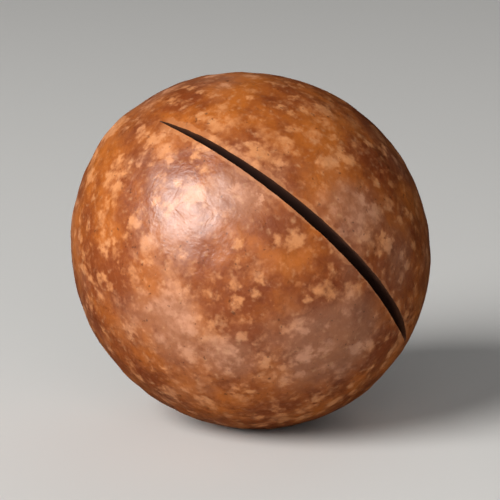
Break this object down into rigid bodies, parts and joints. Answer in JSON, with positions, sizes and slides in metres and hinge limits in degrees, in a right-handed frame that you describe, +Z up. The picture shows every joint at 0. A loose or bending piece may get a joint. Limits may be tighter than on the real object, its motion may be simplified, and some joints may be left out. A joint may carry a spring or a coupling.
{
  "type": "macadamia nut in shell",
  "caption": "Nearly round macadamia nut in its hard woody shell, with a narrow saw kerf that lets an opener key in, resting on a small flat spot.",
  "frame": {"origin": "on the flat spot the nut rests on, straight below the middle of the nut", "axes": "+Z up from the surface the nut rests on, -Y towards the viewer with the kerf facing that way, +X to the viewer's right"},
  "size_m": [0.025, 0.0249, 0.0247],
  "materials": {
    "shell": "satin, waxy, mottled brown with paler flecks"
  },
  "bodies": {
    "root": {"macadamia_nut": "shell"}
  },
  "joints": []
}
